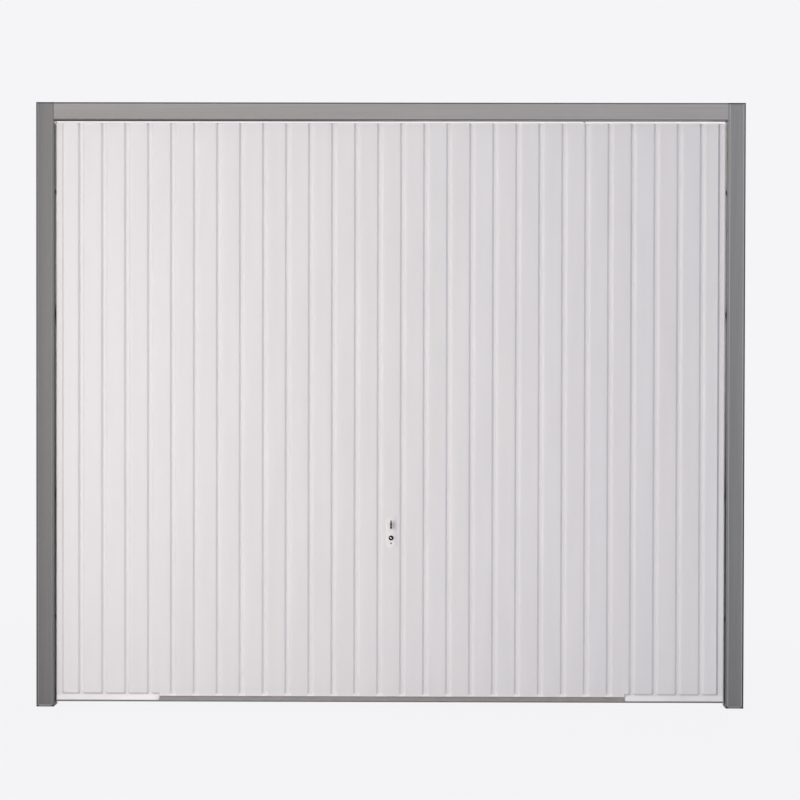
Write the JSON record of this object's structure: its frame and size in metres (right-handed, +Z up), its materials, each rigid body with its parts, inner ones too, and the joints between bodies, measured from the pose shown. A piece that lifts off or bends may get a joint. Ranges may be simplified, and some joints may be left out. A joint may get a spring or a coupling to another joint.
{
  "type": "up and over garage door",
  "caption": "Single up and over garage door: white pressed steel leaf with upright ribs in a grey steel frame, with canopy lifting gear, counterbalance and lock.",
  "frame": {"origin": "middle of the header's top face, which is fixed up under the lintel", "axes": "+X across the doorway to the right seen from the street, +Y into the garage, +Z up"},
  "size_m": [2.4, 0.146, 2.05],
  "materials": {
    "frame_paint": "satin grey paint",
    "foot_plastic": "matte",
    "leaf_paint": "satin white coil coating",
    "zinc_steel": "galvanised",
    "rail_paint": "satin grey paint",
    "spring_steel": "oil tempered",
    "cast_alloy": "die cast",
    "cable_steel": "stranded",
    "roller_nylon": "moulded",
    "dark_lock": "dark plated"
  },
  "bodies": {
    "frame": {"left_leg": "frame_paint", "left_foot": "foot_plastic", "left_track": "zinc_steel", "left_pivot_bracket": "zinc_steel", "left_shaft_bracket": "zinc_steel", "left_cable_drum": "cast_alloy", "left_lift_cable": "cable_steel", "right_leg": "frame_paint", "right_foot": "foot_plastic", "right_track": "zinc_steel", "right_pivot_bracket": "zinc_steel", "right_shaft_bracket": "zinc_steel", "right_cable_drum": "cast_alloy", "right_lift_cable": "cable_steel", "header": "frame_paint", "spring_shaft": "zinc_steel", "torsion_spring": "spring_steel", "winding_cone": "cast_alloy", "spring_anchor_bracket": "zinc_steel"},
    "lift_arms": {"left_lift_arm": "zinc_steel", "right_lift_arm": "zinc_steel"},
    "door_leaf": {"left_stile": "zinc_steel", "left_arm_bracket": "zinc_steel", "left_roller_bracket": "zinc_steel", "left_track_roller": "roller_nylon", "left_lock_bar": "zinc_steel", "right_stile": "zinc_steel", "right_arm_bracket": "zinc_steel", "right_roller_bracket": "zinc_steel", "right_track_roller": "roller_nylon", "right_lock_bar": "zinc_steel", "door_skin": "leaf_paint", "top_rail": "zinc_steel", "upper_rail": "zinc_steel", "middle_rail": "zinc_steel", "lock_rail": "zinc_steel", "bottom_rail": "rail_paint", "escutcheon_plate": "leaf_paint", "lock_cylinder": "dark_lock", "lock_case": "zinc_steel"},
    "handle": {"pull_handle": "dark_lock"}
  },
  "joints": [
    {"name": "door_lift", "type": "hinge", "parent": "frame", "child": "lift_arms", "pos_m": [0, 0.068, -0.094], "axis": [1, 0, 0], "range_deg": [0, 84], "deforming": ["left_lift_cable", "right_lift_cable"]},
    {"name": "leaf_pivot", "type": "hinge", "parent": "lift_arms", "child": "door_leaf", "pos_m": [0, 0.098, -0.71327], "axis": [-1, 0, 0], "range_deg": [0, 168]},
    {"name": "handle_turn", "type": "hinge", "parent": "door_leaf", "child": "handle", "pos_m": [0.004, -0.011, -1.428], "axis": [0, 1, 0], "range_deg": [0, 90]}
  ],
  "couplings": [
    {"joint": "leaf_pivot", "follows": "door_lift", "ratio": 2}
  ]
}
